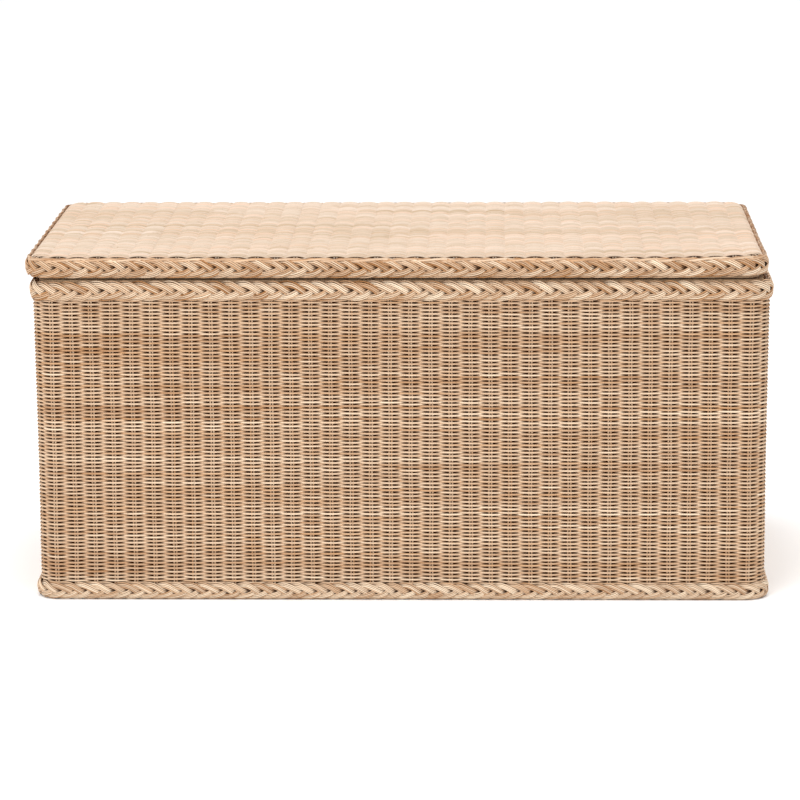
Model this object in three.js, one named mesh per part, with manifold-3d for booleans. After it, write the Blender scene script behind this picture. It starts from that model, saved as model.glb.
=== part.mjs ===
// A wicker storage trunk with a hinged lid.
//
// A woven wall stands round a wooden frame and a base board. Plaited braids border the foot, the rim
// and the edge of the lid. The lid is a woven panel on a frame of its own, and it turns on two butt
// hinges at the back until its back braid comes up against the rim braid.
//
// Millimetres, +Z up. The front faces -Y and the left end faces -X. The origin is the middle of the
// trunk's outline, on the surface that it stands on.

import * as THREE from "three";
import { mergeVertices } from "three/addons/utils/BufferGeometryUtils.js";
import Module from "manifold-3d";

const wasm = await Module();
wasm.setup();

// ---- Driving dimensions ----

const clearance = 0.3; // between pieces that touch
const cutPast = 5; // how far a cutting shape runs past what it cuts

// The braids, over their outer faces.
const footBraid = { length: 1090, depth: 555, bottom: 0, top: 26 };
const rimBraid = { length: 1092, depth: 556, bottom: 450, top: 480 };
const lidBraid = { length: 1090, depth: 555, bottom: 482, top: 513.5 };
const braidThickness = 13;
const braidEdgeRadius = 5;
const braidCornerRadius = 38; // in plan, at the outer face

// The wall, woven in one piece round four sides.
const wallLength = 1079;
const wallDepth = 543;
const wallThickness = 6;
const wallCornerRadius = 32;

// Hand work: the lid sits a little to the left of the body.
const bodyShift = 2.75;
const lidShift = -3.75;

// The wooden frame.
const railSize = 20;
const slatWidth = 40;
const slatThickness = 10;
const slatSpacing = 350;
const slatFloorGap = 3.5;
const baseBoardThickness = 8;

// The lid's woven panel and its frame.
const lidTop = 516;
const lidPanelThickness = 10;
const lidSlatWidth = 30;
const lidSlatThickness = 10;
const lidSlatSpacing = 260;

// The two butt hinges.
const hingeSpacing = 640;
const hingeLength = 60;
const hingeInset = 3.2; // from the rim braid's back face to the hinge's axis
const leafThickness = 1.2;
const leafDepth = 28.8; // from the axis to the leaf's free edge
const leafRise = 0.4; // from the axis to the nearer face of a leaf
const barrelRadius = 3;
const lidBarrelLength = 20;
const pinRadius = 1.2;
const pinHeadRadius = 2.4;
const pinHeadLength = 1;

// The countersunk wood screws, three to a leaf.
const screwSpacing = 21;
const screwHeadRadius = 2.6;
const screwHeadHeight = 1.6;
const screwShankRadius = 1.3;
const screwLength = 14;
const screwTipLength = 3;

// How finely round shapes are faceted.
const planCornerSteps = 3;
const braidEdgeSteps = 3;
const barrelSides = 16;
const pinSides = 10;
const screwSides = 8;

// ---- Places worked out from them ----

// The frame keeps inside the braids of the foot and the lid, which are narrower than the rim's.
const frameLength = lidBraid.length - 2 * braidThickness - 2 * clearance;
const frameDepth = lidBraid.depth - 2 * braidThickness - 2 * clearance;
const frameCornerRadius = braidCornerRadius - braidThickness - clearance;

const wallBottom = footBraid.top + clearance;
const wallTop = rimBraid.bottom - clearance;
const slatTop = slatFloorGap + slatThickness;
const baseBoardBottom = slatTop + clearance;
const baseBoardTop = baseBoardBottom + baseBoardThickness;
const bottomRailBottom = baseBoardTop + clearance;
const bottomRailTop = bottomRailBottom + railSize;
const topRailBottom = rimBraid.top - railSize;
const lidPanelBottom = lidTop - lidPanelThickness;
const lidRailTop = lidPanelBottom - clearance;

const hingeAxisY = rimBraid.depth / 2 - hingeInset;
const hingeAxisZ = (rimBraid.top + lidBraid.bottom) / 2;
const screwInset = hingeAxisY - (frameDepth - railSize) / 2; // the rails' middle line, from the axis
const hingePocketLength = hingeLength + 2 * (pinHeadLength + 2 * clearance);

// ---- Materials ----

function finish(colour, roughness, metalness) {
  return new THREE.MeshStandardMaterial({ color: colour, roughness, metalness, flatShading: true });
}

const wallFinish = finish(0xa87a52, 0.6, 0);
const lidPanelFinish = finish(0xd9b890, 0.55, 0);
const braidFinish = finish(0xb98a5e, 0.55, 0);
const frameFinish = finish(0x9a7448, 0.7, 0);
const baseBoardFinish = finish(0xc3a06e, 0.7, 0);
const hingeFinish = finish(0x8d7446, 0.35, 1);
const screwFinish = finish(0xa39a86, 0.3, 1);

// ---- Shape helpers ----

// A closed three.js geometry as a solid that can be cut and joined.
function solidOf(geometry) {
  const bare = geometry.clone();
  bare.deleteAttribute("normal");
  bare.deleteAttribute("uv");
  const merged = mergeVertices(bare, 1e-3);
  const shell = new wasm.Mesh({
    numProp: 3,
    vertProperties: merged.attributes.position.array,
    triVerts: new Uint32Array(merged.index.array),
  });
  return new wasm.Manifold(shell);
}

function geometryOf(solid) {
  const shell = solid.getMesh();
  const geometry = new THREE.BufferGeometry();
  geometry.setAttribute("position", new THREE.BufferAttribute(shell.vertProperties, 3));
  geometry.setIndex(new THREE.BufferAttribute(shell.triVerts, 1));
  return geometry;
}

// A plan outline with round corners, about the origin.
function roundedOutline(length, depth, radius) {
  const x = length / 2;
  const y = depth / 2;
  const outline = new THREE.Shape();
  outline.moveTo(radius - x, -y);
  outline.lineTo(x - radius, -y);
  outline.absarc(x - radius, radius - y, radius, -Math.PI / 2, 0);
  outline.lineTo(x, y - radius);
  outline.absarc(x - radius, y - radius, radius, 0, Math.PI / 2);
  outline.lineTo(radius - x, y);
  outline.absarc(radius - x, y - radius, radius, Math.PI / 2, Math.PI);
  outline.lineTo(-x, radius - y);
  outline.absarc(radius - x, radius - y, radius, Math.PI, 1.5 * Math.PI);
  return outline;
}

// An outline pulled straight up from one level to another.
function prism(outline, bottom, top) {
  const geometry = new THREE.ExtrudeGeometry(outline, {
    depth: top - bottom,
    bevelEnabled: false,
    curveSegments: planCornerSteps,
  });
  return geometry.translate(0, 0, bottom);
}

// A border that runs round the trunk, with its four long edges rounded over.
function braidRing(border) {
  const ring = roundedOutline(border.length, border.depth, braidCornerRadius);
  const innerLength = border.length - 2 * braidThickness;
  const innerDepth = border.depth - 2 * braidThickness;
  ring.holes.push(roundedOutline(innerLength, innerDepth, braidCornerRadius - braidThickness));
  const geometry = new THREE.ExtrudeGeometry(ring, {
    depth: border.top - border.bottom - 2 * braidEdgeRadius,
    curveSegments: planCornerSteps,
    bevelThickness: braidEdgeRadius,
    bevelSize: braidEdgeRadius,
    bevelOffset: -braidEdgeRadius,
    bevelSegments: braidEdgeSteps,
  });
  return geometry.translate(0, 0, border.bottom + braidEdgeRadius);
}

function box(xRange, yRange, zRange) {
  const sides = [xRange, yRange, zRange].map(([low, high]) => high - low);
  const middle = [xRange, yRange, zRange].map(([low, high]) => (low + high) / 2);
  return new THREE.BoxGeometry(...sides).translate(...middle);
}

// A round bar along X, centred on the origin.
function barAlongX(radius, length, sides) {
  return new THREE.CylinderGeometry(radius, radius, length, sides).rotateZ(Math.PI / 2);
}

function piece(name, geometry, material) {
  const mesh = new THREE.Mesh(geometry, material);
  mesh.name = name;
  return mesh;
}

// ---- The wall ----

function bodyWeave() {
  const ring = roundedOutline(wallLength, wallDepth, wallCornerRadius);
  const innerLength = wallLength - 2 * wallThickness;
  const innerDepth = wallDepth - 2 * wallThickness;
  ring.holes.push(roundedOutline(innerLength, innerDepth, wallCornerRadius - wallThickness));
  return piece("body_weave", prism(ring, wallBottom, wallTop), wallFinish);
}

// ---- The hinges, each about its own axis ----

// The lower half of a countersunk screw's outline, from its tip to the rim of its head.
function screwProfile(extra) {
  const tip = -screwLength - extra;
  return [
    new THREE.Vector2(0, tip),
    new THREE.Vector2(screwShankRadius + extra, tip + screwTipLength),
    new THREE.Vector2(screwShankRadius + extra, -screwHeadHeight),
    new THREE.Vector2(screwHeadRadius + extra, 0),
  ];
}

// A screw that points down, with the face of its head at the origin.
function screwGeometry() {
  const profile = [...screwProfile(0), new THREE.Vector2(0, 0)];
  return new THREE.LatheGeometry(profile, screwSides).rotateX(Math.PI / 2);
}

// The hole that such a screw goes in, open above its head.
function screwRoom() {
  const top = new THREE.Vector2(screwHeadRadius + clearance, clearance);
  const profile = [...screwProfile(clearance), top, new THREE.Vector2(0, clearance)];
  return new THREE.LatheGeometry(profile, screwSides).rotateX(Math.PI / 2);
}

const screwPlaces = [-screwSpacing, 0, screwSpacing];

// One leaf of a hinge about its axis: a plate and its share of the barrel. Written for the body's
// leaf, which lies below the axis, and turned over for the lid's.
function leafSolid(barrels, otherBarrels) {
  const plateX = [-hingeLength / 2, hingeLength / 2];
  const plateZ = [-leafRise - leafThickness, -leafRise];
  let leaf = solidOf(box(plateX, [-leafDepth, 0], plateZ));
  for (const [low, high] of otherBarrels) {
    const room = barAlongX(barrelRadius + clearance, high - low + 2 * clearance, barrelSides);
    leaf = leaf.subtract(solidOf(room.translate((low + high) / 2, 0, 0)));
  }
  for (const [low, high] of barrels) {
    const barrel = barAlongX(barrelRadius, high - low, barrelSides);
    leaf = leaf.add(solidOf(barrel.translate((low + high) / 2, 0, 0)));
  }
  const bore = barAlongX(pinRadius + clearance, hingeLength + cutPast, pinSides);
  leaf = leaf.subtract(solidOf(bore));
  for (const x of screwPlaces) {
    const room = screwRoom().translate(x, -screwInset, -leafRise);
    leaf = leaf.subtract(solidOf(room));
  }
  return leaf;
}

const lidBarrels = [[-lidBarrelLength / 2, lidBarrelLength / 2]];
const bodyBarrels = [
  [-hingeLength / 2, -lidBarrelLength / 2 - clearance],
  [lidBarrelLength / 2 + clearance, hingeLength / 2],
];

function hingePin() {
  const shankEnd = hingeLength / 2 + clearance;
  const profile = [
    new THREE.Vector2(0, -shankEnd - pinHeadLength),
    new THREE.Vector2(pinHeadRadius, -shankEnd - pinHeadLength),
    new THREE.Vector2(pinHeadRadius, -shankEnd),
    new THREE.Vector2(pinRadius, -shankEnd),
    new THREE.Vector2(pinRadius, shankEnd),
    new THREE.Vector2(pinHeadRadius, shankEnd),
    new THREE.Vector2(pinHeadRadius, shankEnd + pinHeadLength),
    new THREE.Vector2(0, shankEnd + pinHeadLength),
  ];
  return new THREE.LatheGeometry(profile, pinSides).rotateZ(Math.PI / 2);
}

// Turning a shape half round about Y puts what lies below the axis above it, and keeps its depth.
const turnedOver = Math.PI;

function hinge(side) {
  const group = new THREE.Group();
  const bodyLeaf = geometryOf(leafSolid(bodyBarrels, lidBarrels));
  const lidLeaf = geometryOf(leafSolid(lidBarrels, bodyBarrels)).rotateY(turnedOver);
  group.add(piece(`hinge_${side}_body_leaf`, bodyLeaf, hingeFinish));
  group.add(piece(`hinge_${side}_lid_leaf`, lidLeaf, hingeFinish));
  group.add(piece(`hinge_${side}_pin`, hingePin(), hingeFinish));
  screwPlaces.forEach((x, index) => {
    const bodyScrew = piece(`hinge_${side}_body_screw_${index + 1}`, screwGeometry(), screwFinish);
    bodyScrew.position.set(x, -screwInset, -leafRise);
    const lidScrew = piece(`hinge_${side}_lid_screw_${index + 1}`, screwGeometry(), screwFinish);
    lidScrew.position.set(x, -screwInset, leafRise);
    lidScrew.rotation.y = turnedOver;
    group.add(bodyScrew, lidScrew);
  });
  return group;
}

const hingePlaces = { left: -hingeSpacing / 2, right: hingeSpacing / 2 };

// What the hinges need cut away below their axis: a pocket for the leaf, room for the barrel and
// holes for the screws. owner is where the piece that is cut stands along X.
function cutForHinges(solid, owner, above) {
  let cut = solid;
  for (const x of Object.values(hingePlaces)) {
    const halfPocket = hingePocketLength / 2;
    const pocketBottom = -leafRise - leafThickness - clearance;
    const pocketY = [-leafDepth - clearance, 0];
    const rooms = [
      box([-halfPocket, halfPocket], pocketY, [pocketBottom, 0]),
      barAlongX(barrelRadius + clearance, hingePocketLength, barrelSides),
    ];
    for (const screwX of screwPlaces) {
      rooms.push(screwRoom().translate(screwX, -screwInset, -leafRise));
    }
    for (const room of rooms) {
      if (above) room.rotateY(turnedOver);
      room.translate(x - owner, hingeAxisY, hingeAxisZ);
      cut = cut.subtract(solidOf(room));
    }
  }
  return cut;
}

// ---- The frames ----

const frameX = frameLength / 2;
const frameY = frameDepth / 2;

// Cuts a length of wood to the frame's rounded outline.
function trimmed(geometry, bottom, top) {
  const outline = roundedOutline(frameLength, frameDepth, frameCornerRadius);
  return solidOf(geometry).intersect(solidOf(prism(outline, bottom - cutPast, top + cutPast)));
}

// Four rails: the front and back ones run the full length, and the end ones fit between them.
// cutBack cuts what the back rail carries.
function rails(prefix, bottom, top, cutBack) {
  const innerX = frameX - railSize;
  const innerY = frameY - railSize;
  const endY = [clearance - innerY, innerY - clearance];
  const lengths = {
    front: [[-frameX, frameX], [-frameY, -innerY]],
    back: [[-frameX, frameX], [innerY, frameY]],
    left: [[-frameX, -innerX], endY],
    right: [[innerX, frameX], endY],
  };
  return Object.entries(lengths).map(([side, [xRange, yRange]]) => {
    const plain = trimmed(box(xRange, yRange, [bottom, top]), bottom, top);
    const rail = side === "back" ? cutBack(plain) : plain;
    return piece(`${prefix}_${side}`, geometryOf(rail), frameFinish);
  });
}

// Posts between the bottom rails and the top rails: one in each corner and one in the middle of
// each long side.
function posts() {
  const bottom = bottomRailTop + clearance;
  const top = topRailBottom - clearance;
  const made = [];
  for (const [depthName, ySign] of [["front", -1], ["back", 1]]) {
    const y = ySign * (frameY - railSize / 2);
    for (const [endName, xSign] of [["left", -1], ["right", 1]]) {
      const post = box([-railSize / 2, railSize / 2], [-railSize / 2, railSize / 2], [bottom, top]);
      post.translate(xSign * (frameX - railSize / 2), y, 0);
      const geometry = geometryOf(trimmed(post, bottom, top));
      made.push(piece(`corner_post_${depthName}_${endName}`, geometry, frameFinish));
    }
    const middle = box([-railSize / 2, railSize / 2], [-railSize / 2, railSize / 2], [bottom, top]);
    made.push(piece(`middle_post_${depthName}`, middle.translate(0, y, 0), frameFinish));
  }
  return made;
}

// Slats that cross from front to back.
function slats(prefix, spacing, width, halfDepth, bottom, top) {
  return [["left", -1], ["middle", 0], ["right", 1]].map(([place, step]) => {
    const middle = step * spacing;
    const xRange = [middle - width / 2, middle + width / 2];
    const slat = box(xRange, [-halfDepth, halfDepth], [bottom, top]);
    return piece(`${prefix}_${place}`, slat, frameFinish);
  });
}

function baseBoard() {
  const outline = roundedOutline(frameLength, frameDepth, frameCornerRadius);
  return piece("base_board", prism(outline, baseBoardBottom, baseBoardTop), baseBoardFinish);
}

// ---- Assembly ----

const body = new THREE.Group();
body.position.x = bodyShift;
const cutRim = (solid) => cutForHinges(solid, bodyShift, false);
body.add(bodyWeave());
body.add(baseBoard());
body.add(piece("foot_braid", braidRing(footBraid), braidFinish));
body.add(piece("rim_braid", geometryOf(cutRim(solidOf(braidRing(rimBraid)))), braidFinish));
body.add(...slats("base_slat", slatSpacing, slatWidth, frameY, slatFloorGap, slatTop));
body.add(...rails("bottom_rail", bottomRailBottom, bottomRailTop, (solid) => solid));
body.add(...rails("top_rail", topRailBottom, rimBraid.top, cutRim));
body.add(...posts());

const lid = new THREE.Group();
lid.position.x = lidShift;
const cutLid = (solid) => cutForHinges(solid, lidShift, true);
const lidOutline = roundedOutline(frameLength, frameDepth, frameCornerRadius);
const lidSlatHalfDepth = frameY - railSize - clearance;
const lidSlatBottom = lidRailTop - lidSlatThickness;
lid.add(piece("lid_weave", prism(lidOutline, lidPanelBottom, lidTop), lidPanelFinish));
lid.add(piece("lid_braid", geometryOf(cutLid(solidOf(braidRing(lidBraid)))), braidFinish));
lid.add(...rails("lid_rail", lidBraid.bottom, lidRailTop, cutLid));
lid.add(
  ...slats("lid_slat", lidSlatSpacing, lidSlatWidth, lidSlatHalfDepth, lidSlatBottom, lidRailTop),
);

const trunk = new THREE.Group();
trunk.add(body, lid);
for (const [side, x] of Object.entries(hingePlaces)) {
  const placed = hinge(side);
  placed.position.set(x, hingeAxisY, hingeAxisZ);
  trunk.add(placed);
}

export default trunk;
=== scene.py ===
"""A wicker storage trunk: woven wall and lid, plaited borders, a wooden frame and two hinges.

Every reed is a strand of its own. A strand is a line of points with a flattened round section. The
weavers pass in front of and behind pairs of upright stakes, and each border is a plait of five
ribbons, with four reeds to a ribbon.
"""

import math

import bpy
import numpy as np
from mathutils import Matrix, Vector


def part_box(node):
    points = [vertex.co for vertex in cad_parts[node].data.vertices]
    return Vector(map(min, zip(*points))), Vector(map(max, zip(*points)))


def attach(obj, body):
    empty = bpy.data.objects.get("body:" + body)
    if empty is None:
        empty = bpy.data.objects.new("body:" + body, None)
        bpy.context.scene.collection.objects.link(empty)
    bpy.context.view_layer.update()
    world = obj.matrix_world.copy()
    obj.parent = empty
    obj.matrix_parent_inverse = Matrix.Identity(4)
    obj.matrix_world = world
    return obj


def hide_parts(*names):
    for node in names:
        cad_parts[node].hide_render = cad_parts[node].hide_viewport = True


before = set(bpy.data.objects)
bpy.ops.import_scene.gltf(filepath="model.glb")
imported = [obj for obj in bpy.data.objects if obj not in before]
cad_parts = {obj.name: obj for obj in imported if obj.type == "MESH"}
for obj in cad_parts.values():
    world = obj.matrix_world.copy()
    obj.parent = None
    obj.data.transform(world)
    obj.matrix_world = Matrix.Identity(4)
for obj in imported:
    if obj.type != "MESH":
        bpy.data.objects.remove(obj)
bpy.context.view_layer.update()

MM = 0.001
TURN = 2 * math.pi
TO_RIGHT, TO_BACK, UP = np.identity(3)
chance = np.random.default_rng(20)

# ---- The weave, in metres ----

REED_SIDES = 6
WALL_STAKE_PAIRS = 108  # all round, an even number so that the rows close on themselves
ROW_PITCH = 2.76 * MM
WEAVER_HALF_HEIGHT = 1.56 * MM
OUTER_SWELL = 0.02 * MM  # how much fuller a weaver lies where it passes outside the stakes
INNER_SWELL = 1.34 * MM  # and inside them, where the rows are packed until they touch
INNER_CURVE = 0.8
SWING_FLATNESS = 0.3  # how flat a weaver lies where it passes the stakes
WEAVER_HALF_DEPTH = 1.25 * MM
WEAVER_BITE = 0.25 * MM  # a weaver presses this far into the stakes that it bends round
WEAVER_STEP = 0.10 * MM  # a weaver lies this much higher outside the stakes and lower inside
STAKE_RADIUS = 1.4 * MM
STAKE_SPACING = 3.8 * MM  # between the two stakes of a pair
WEAVE_SWING = STAKE_RADIUS + WEAVER_HALF_DEPTH - WEAVER_BITE  # to each side of the stakes
WEAVE_THICKNESS = 2 * (WEAVE_SWING + WEAVER_HALF_DEPTH)
STEPS_PER_STAKE = 6
WALL_FLARE = 2.7 * MM  # the wall leans out by this much at the rim
FLARE_FOOT = 0.35  # the share of the wall's height that stays upright
FLARE_CURVE = 1.3

# ---- The plaits ----

RIBBONS = 5
REEDS_PER_RIBBON = 4
STEPS_PER_STROKE = 6
RIBBON_BULGE = 0.5 * MM  # how far a ribbon's middle reeds stand above its outer ones
RIBBON_STRAY = 0.10  # how far a ribbon runs ahead of its wave or behind it, in radians
RIBBON_TONE_SPREAD = 0.13
RIBBON_TONE_DRIFT = 0.07
PLAIT_STANDS_PROUD = 1.0 * MM  # of the plain border's face
CORE_RADIUS = 3.1 * MM
CORE_INSET = 9.8 * MM  # from the border's face to the middle of its core
CORE_STEPS = 300
ROD_SIDES = 10  # of the rods and the lid's rope
CORE_STRAY = 0.2 * MM  # how far a rod strays up and down
# The rods' deeper tone and CORE_IN_SHADE are painted shade, where the rods lie behind a plait.
CORE_TONE = 0.42
CORE_TONE_DRIFT = 0.06
CORE_IN_SHADE = -0.8  # how far behind a plait its rods lie, as a strand's forward


# ---- Strands and their meshes ----


def strand(points, side, out, half_side, half_out, tone, forward=0.0, closed=False):
    """A reed along points. side and out are the directions of its section's two half sizes, and
    forward says how it lies in the weave, from 1 at the outer face to -1 at the inner face."""
    count = len(points)
    spread = np.broadcast_to
    return {
        "points": points,
        "side": spread(side, (count, 3)),
        "out": spread(out, (count, 3)),
        "half_side": spread(np.asarray(half_side, float), (count,)),
        "half_out": spread(np.asarray(half_out, float), (count,)),
        "tone": spread(np.asarray(tone, float), (count,)),
        "forward": spread(np.asarray(forward, float), (count,)),
        "closed": closed,
        "seed": chance.random(),
    }


def ring_points(one, sides):
    """The section's corners at every point of a strand, as an array of points by corners."""
    angle = np.arange(sides) * TURN / sides
    across = one["side"] * one["half_side"][:, None]
    outward = one["out"] * one["half_out"][:, None]
    return (
        one["points"][:, None, :]
        + across[:, None, :] * np.cos(angle)[None, :, None]
        + outward[:, None, :] * np.sin(angle)[None, :, None]
    )


def runs_backwards(one):
    """True if the section's corners run clockwise round the strand, so that its faces turn over."""
    along = one["points"][1] - one["points"][0]
    return np.dot(np.cross(along, one["side"][0]), one["out"][0]) < 0


STRIP_MARGIN = 0.08  # the share of a strip in the flat layout that stays free on each side


def strand_faces(one, sides, first, strip, strips, shelves):
    """A strand's quads, whose corners are numbered from first, and their place in a flat layout,
    where the strand is cut into shelves that lie in its own strip."""
    count = len(one["points"])
    lengths = count if one["closed"] else count - 1
    step, corner = np.meshgrid(np.arange(lengths), np.arange(sides), indexing="ij")
    steps = np.stack([step, step + 1, step + 1, step], axis=-1)
    corners = np.stack([corner, corner, corner + 1, corner + 1], axis=-1)
    quads = first + (steps % count) * sides + corners % sides

    per_shelf = math.ceil(lengths / shelves)
    shelf = step // per_shelf
    u = (steps - (shelf * per_shelf)[..., None]) / per_shelf
    within = STRIP_MARGIN + (1 - 2 * STRIP_MARGIN) * corners / sides
    v = (strip * shelves + shelf[..., None] + within) / (strips * shelves)
    layout = np.stack([u, v], axis=-1)

    quads = quads.reshape(-1, 4)
    layout = layout.reshape(-1, 4, 2)
    if not one["closed"]:
        fan = np.arange(1, sides - 1, 2)
        cap = np.stack([0 * fan, fan, fan + 1, (fan + 2) % sides], axis=-1)
        ends = np.concatenate([first + cap, first + (count - 1) * sides + cap[:, ::-1]])
        level = (strip * shelves + STRIP_MARGIN) / (strips * shelves)
        spot = np.full((len(ends), 4, 2), [0.0, level])
        quads = np.concatenate([quads, ends[:, ::-1]])
        layout = np.concatenate([layout, spot])
    if runs_backwards(one):
        quads, layout = quads[:, ::-1], layout[:, ::-1]
    return quads, layout


def shelves_for(strands):
    """Into how many lengths each strand is cut in the flat layout, to keep its proportions."""
    one = strands[0]
    length = np.linalg.norm(np.diff(one["points"], axis=0), axis=1).sum()
    girth = math.pi * (one["half_side"].mean() + one["half_out"].mean())
    return max(1, round(math.sqrt(length / (len(strands) * girth))))


def reed_values(one, sides):
    """What the reed materials read at each corner of a strand: its place along and round the reed,
    its tone, the reed's own seed, and how much painted shade it takes where it faces into the
    weave."""
    count = len(one["points"])
    angle = np.arange(sides) * TURN / sides
    lengths = np.linalg.norm(np.diff(one["points"], axis=0), axis=1)
    along = np.concatenate([[0.0], np.cumsum(lengths)])
    place = np.empty((count, sides, 3))
    place[..., 0] = along[:, None]
    place[..., 1] = np.cos(angle)[None, :]
    place[..., 2] = np.sin(angle)[None, :]
    return {
        "reed": place.reshape(-1, 3),
        "tone": np.repeat(one["tone"], sides),
        "seed": np.full(count * sides, one["seed"]),
        "recess_shade": (-one["forward"][:, None] * np.sin(angle)[None, :]).clip(0, 1).ravel(),
    }


def set_values(mesh, name, values):
    """Stores a number or a vector for each of the mesh's points."""
    kind, key = ("FLOAT", "value") if values.ndim == 1 else ("FLOAT_VECTOR", "vector")
    layer = mesh.attributes.new(name, kind, "POINT")
    layer.data.foreach_set(key, np.ascontiguousarray(values, np.float32).ravel())


def quad_mesh(name, points, faces, layout):
    """A smooth mesh of quads with a flat layout."""
    mesh = bpy.data.meshes.new(name)
    mesh.vertices.add(len(points))
    mesh.vertices.foreach_set("co", points.astype(np.float32).ravel())
    mesh.loops.add(faces.size)
    mesh.loops.foreach_set("vertex_index", faces.astype(np.int32).ravel())
    mesh.polygons.add(len(faces))
    mesh.polygons.foreach_set("loop_start", np.arange(0, faces.size, 4, dtype=np.int32))
    mesh.polygons.foreach_set("use_smooth", np.ones(len(faces), bool))
    mesh.update(calc_edges=True)
    flat = mesh.uv_layers.new(name="OFBake")
    flat.data.foreach_set("uv", layout.astype(np.float32).ravel())
    return mesh


def reed_piece(name, strands, material, sides=REED_SIDES):
    """One mesh object of many strands, with the values that the reed materials read."""
    shelves = shelves_for(strands)
    points, faces, layouts, values = [], [], [], []
    first = 0
    for number, one in enumerate(strands):
        quads, layout = strand_faces(one, sides, first, number, len(strands), shelves)
        points.append(ring_points(one, sides).reshape(-1, 3))
        faces.append(quads)
        layouts.append(layout)
        values.append(reed_values(one, sides))
        first += len(one["points"]) * sides
    mesh = quad_mesh(name, *map(np.concatenate, (points, faces, layouts)))
    for kind in ("reed", "tone", "seed", "recess_shade"):
        set_values(mesh, kind, np.concatenate([each[kind] for each in values]))
    mesh.materials.append(material)
    made = bpy.data.objects.new(name, mesh)
    bpy.context.scene.collection.objects.link(made)
    return made


WANDER_WAVES = 3
WANDER_HEIGHT = 1.8  # how high so many waves reach together


def wander(turn, slowest, quickest):
    """A smooth random wave of about unit height that closes on itself over one turn."""
    total = np.zeros_like(turn, dtype=float)
    for _ in range(WANDER_WAVES):
        cycles = chance.integers(slowest, quickest + 1)
        total += np.sin(TURN * (cycles * turn + chance.random()))
    return total / WANDER_HEIGHT


# ---- Going round the trunk ----


class Loop:
    """A rounded rectangle in plan, walked anticlockwise from the middle of the back. It has nine
    parts: straights and corners by turns, with the back in two halves."""

    def __init__(self, low, high, inset, radius):
        self.middle = np.array([(low.x + high.x) / 2, (low.y + high.y) / 2])
        half_x = (high.x - low.x) / 2 - inset
        half_y = (high.y - low.y) / 2 - inset
        self.radius = radius - inset
        self.straight = np.array([half_x, half_y]) - self.radius
        x, y = self.straight
        arc = self.radius * math.pi / 2
        self.ends = np.cumsum([x, arc, 2 * y, arc, 2 * x, arc, 2 * y, arc, x])
        self.length = float(self.ends[-1])

    def at(self, distance):
        """The points and the outward directions at these distances round the loop."""
        distance = np.mod(distance, self.length)
        x, y = self.straight
        starts = np.concatenate([[0.0], self.ends[:-1]])
        points = np.zeros((*distance.shape, 2))
        outward = np.zeros((*distance.shape, 2))
        straights = {
            0: ((0, y + self.radius), (-1, 0), (0, 1)),
            2: ((-x - self.radius, y), (0, -1), (-1, 0)),
            4: ((-x, -y - self.radius), (1, 0), (0, -1)),
            6: ((x + self.radius, -y), (0, 1), (1, 0)),
            8: ((x, y + self.radius), (-1, 0), (0, 1)),
        }
        arcs = {1: ((-x, y), 90), 3: ((-x, -y), 180), 5: ((x, -y), 270), 7: ((x, y), 0)}
        parts = len(self.ends)
        part = np.searchsorted(self.ends, distance, side="right").clip(0, parts - 1)
        for number in range(parts):
            here = part == number
            gone = (distance[here] - starts[number])[:, None]
            if number in straights:
                start, way, out = straights[number]
                points[here] = np.array(start) + gone * np.array(way)
                outward[here] = out
            else:
                centre, first = arcs[number]
                angle = math.radians(first) + gone[:, 0] / self.radius
                outward[here] = np.stack([np.cos(angle), np.sin(angle)], axis=-1)
                points[here] = np.array(centre) + self.radius * outward[here]
        return points + self.middle, outward

    def place(self, distance, proud, height):
        """Points in space that stand proud of the loop at these heights, and their outward ways."""
        points, outward = self.at(distance)
        placed = np.empty((*distance.shape, 3))
        placed[..., :2] = points + outward * np.asarray(proud)[..., None]
        placed[..., 2] = height
        return placed, np.concatenate([outward, np.zeros((*distance.shape, 1))], axis=-1)


# ---- Colour along the reeds ----

# Bundles of paler and browner reed that were woven in one after another: the height as a share of
# the wall, how far each bundle reaches up and down, how pale it is, and where round the trunk it
# lies thickest, as a share of one turn. The wide low one is painted light, not a bundle.
WALL_BUNDLES_AND_PAINTED_LIGHT = [
    (0.60, 0.013, 0.45, 0.60),
    (0.44, 0.014, 0.30, 0.42),
    (0.81, 0.045, -0.11, 0.44),
    (0.53, 0.030, -0.10, 0.60),
    # Painted light: a wide, paler band over the lower part of the wall.
    (0.15, 0.200, 0.14, 0.54),
    (0.92, 0.050, 0.05, 0.60),
]
BUNDLE_REACH = 0.17  # how far round the trunk a bundle reaches to each side, in turns
BUNDLE_ROWS = (2, 9)  # at least 2 rows are woven from one bundle, and fewer than 9
ROW_JOINS = (2, 5)  # at least 2 reeds go into one row, and fewer than 5
ROW_TONE_DRIFT = 0.05


def bundle_and_painted_light_tone(share, turn):
    """How much paler the bundles and the painted light make a row at this share of the wall's
    height.
    """
    tone = np.zeros_like(turn)
    for height, reach, paleness, middle in WALL_BUNDLES_AND_PAINTED_LIGHT:
        away = np.abs((turn - middle + 0.5) % 1 - 0.5)
        fades = np.exp(-((away / BUNDLE_REACH) ** 4))
        tone += paleness * math.exp(-(((share - height) / reach) ** 2)) * fades
    return tone


def spliced_tone(turn, spread):
    """A weaver is a few reeds end to end, each of its own colour."""
    joins = np.sort(chance.random(chance.integers(*ROW_JOINS)))
    tones = chance.normal(0, spread, len(joins) + 1)
    tones[-1] = tones[0]
    return tones[np.searchsorted(joins, turn)]


# ---- The warped corners ----

# How far the reeds near one front corner stand above or below level, by border: the corner's hand,
# 1 for the right, then the height at the corner, and how far from it the warp reaches.
WARPS = {
    "lid_braid": (1, 3.4 * MM, 150 * MM),
    "rim_braid": (-1, -2.2 * MM, 120 * MM),
}
WARP_CURVE = 1.3


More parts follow.
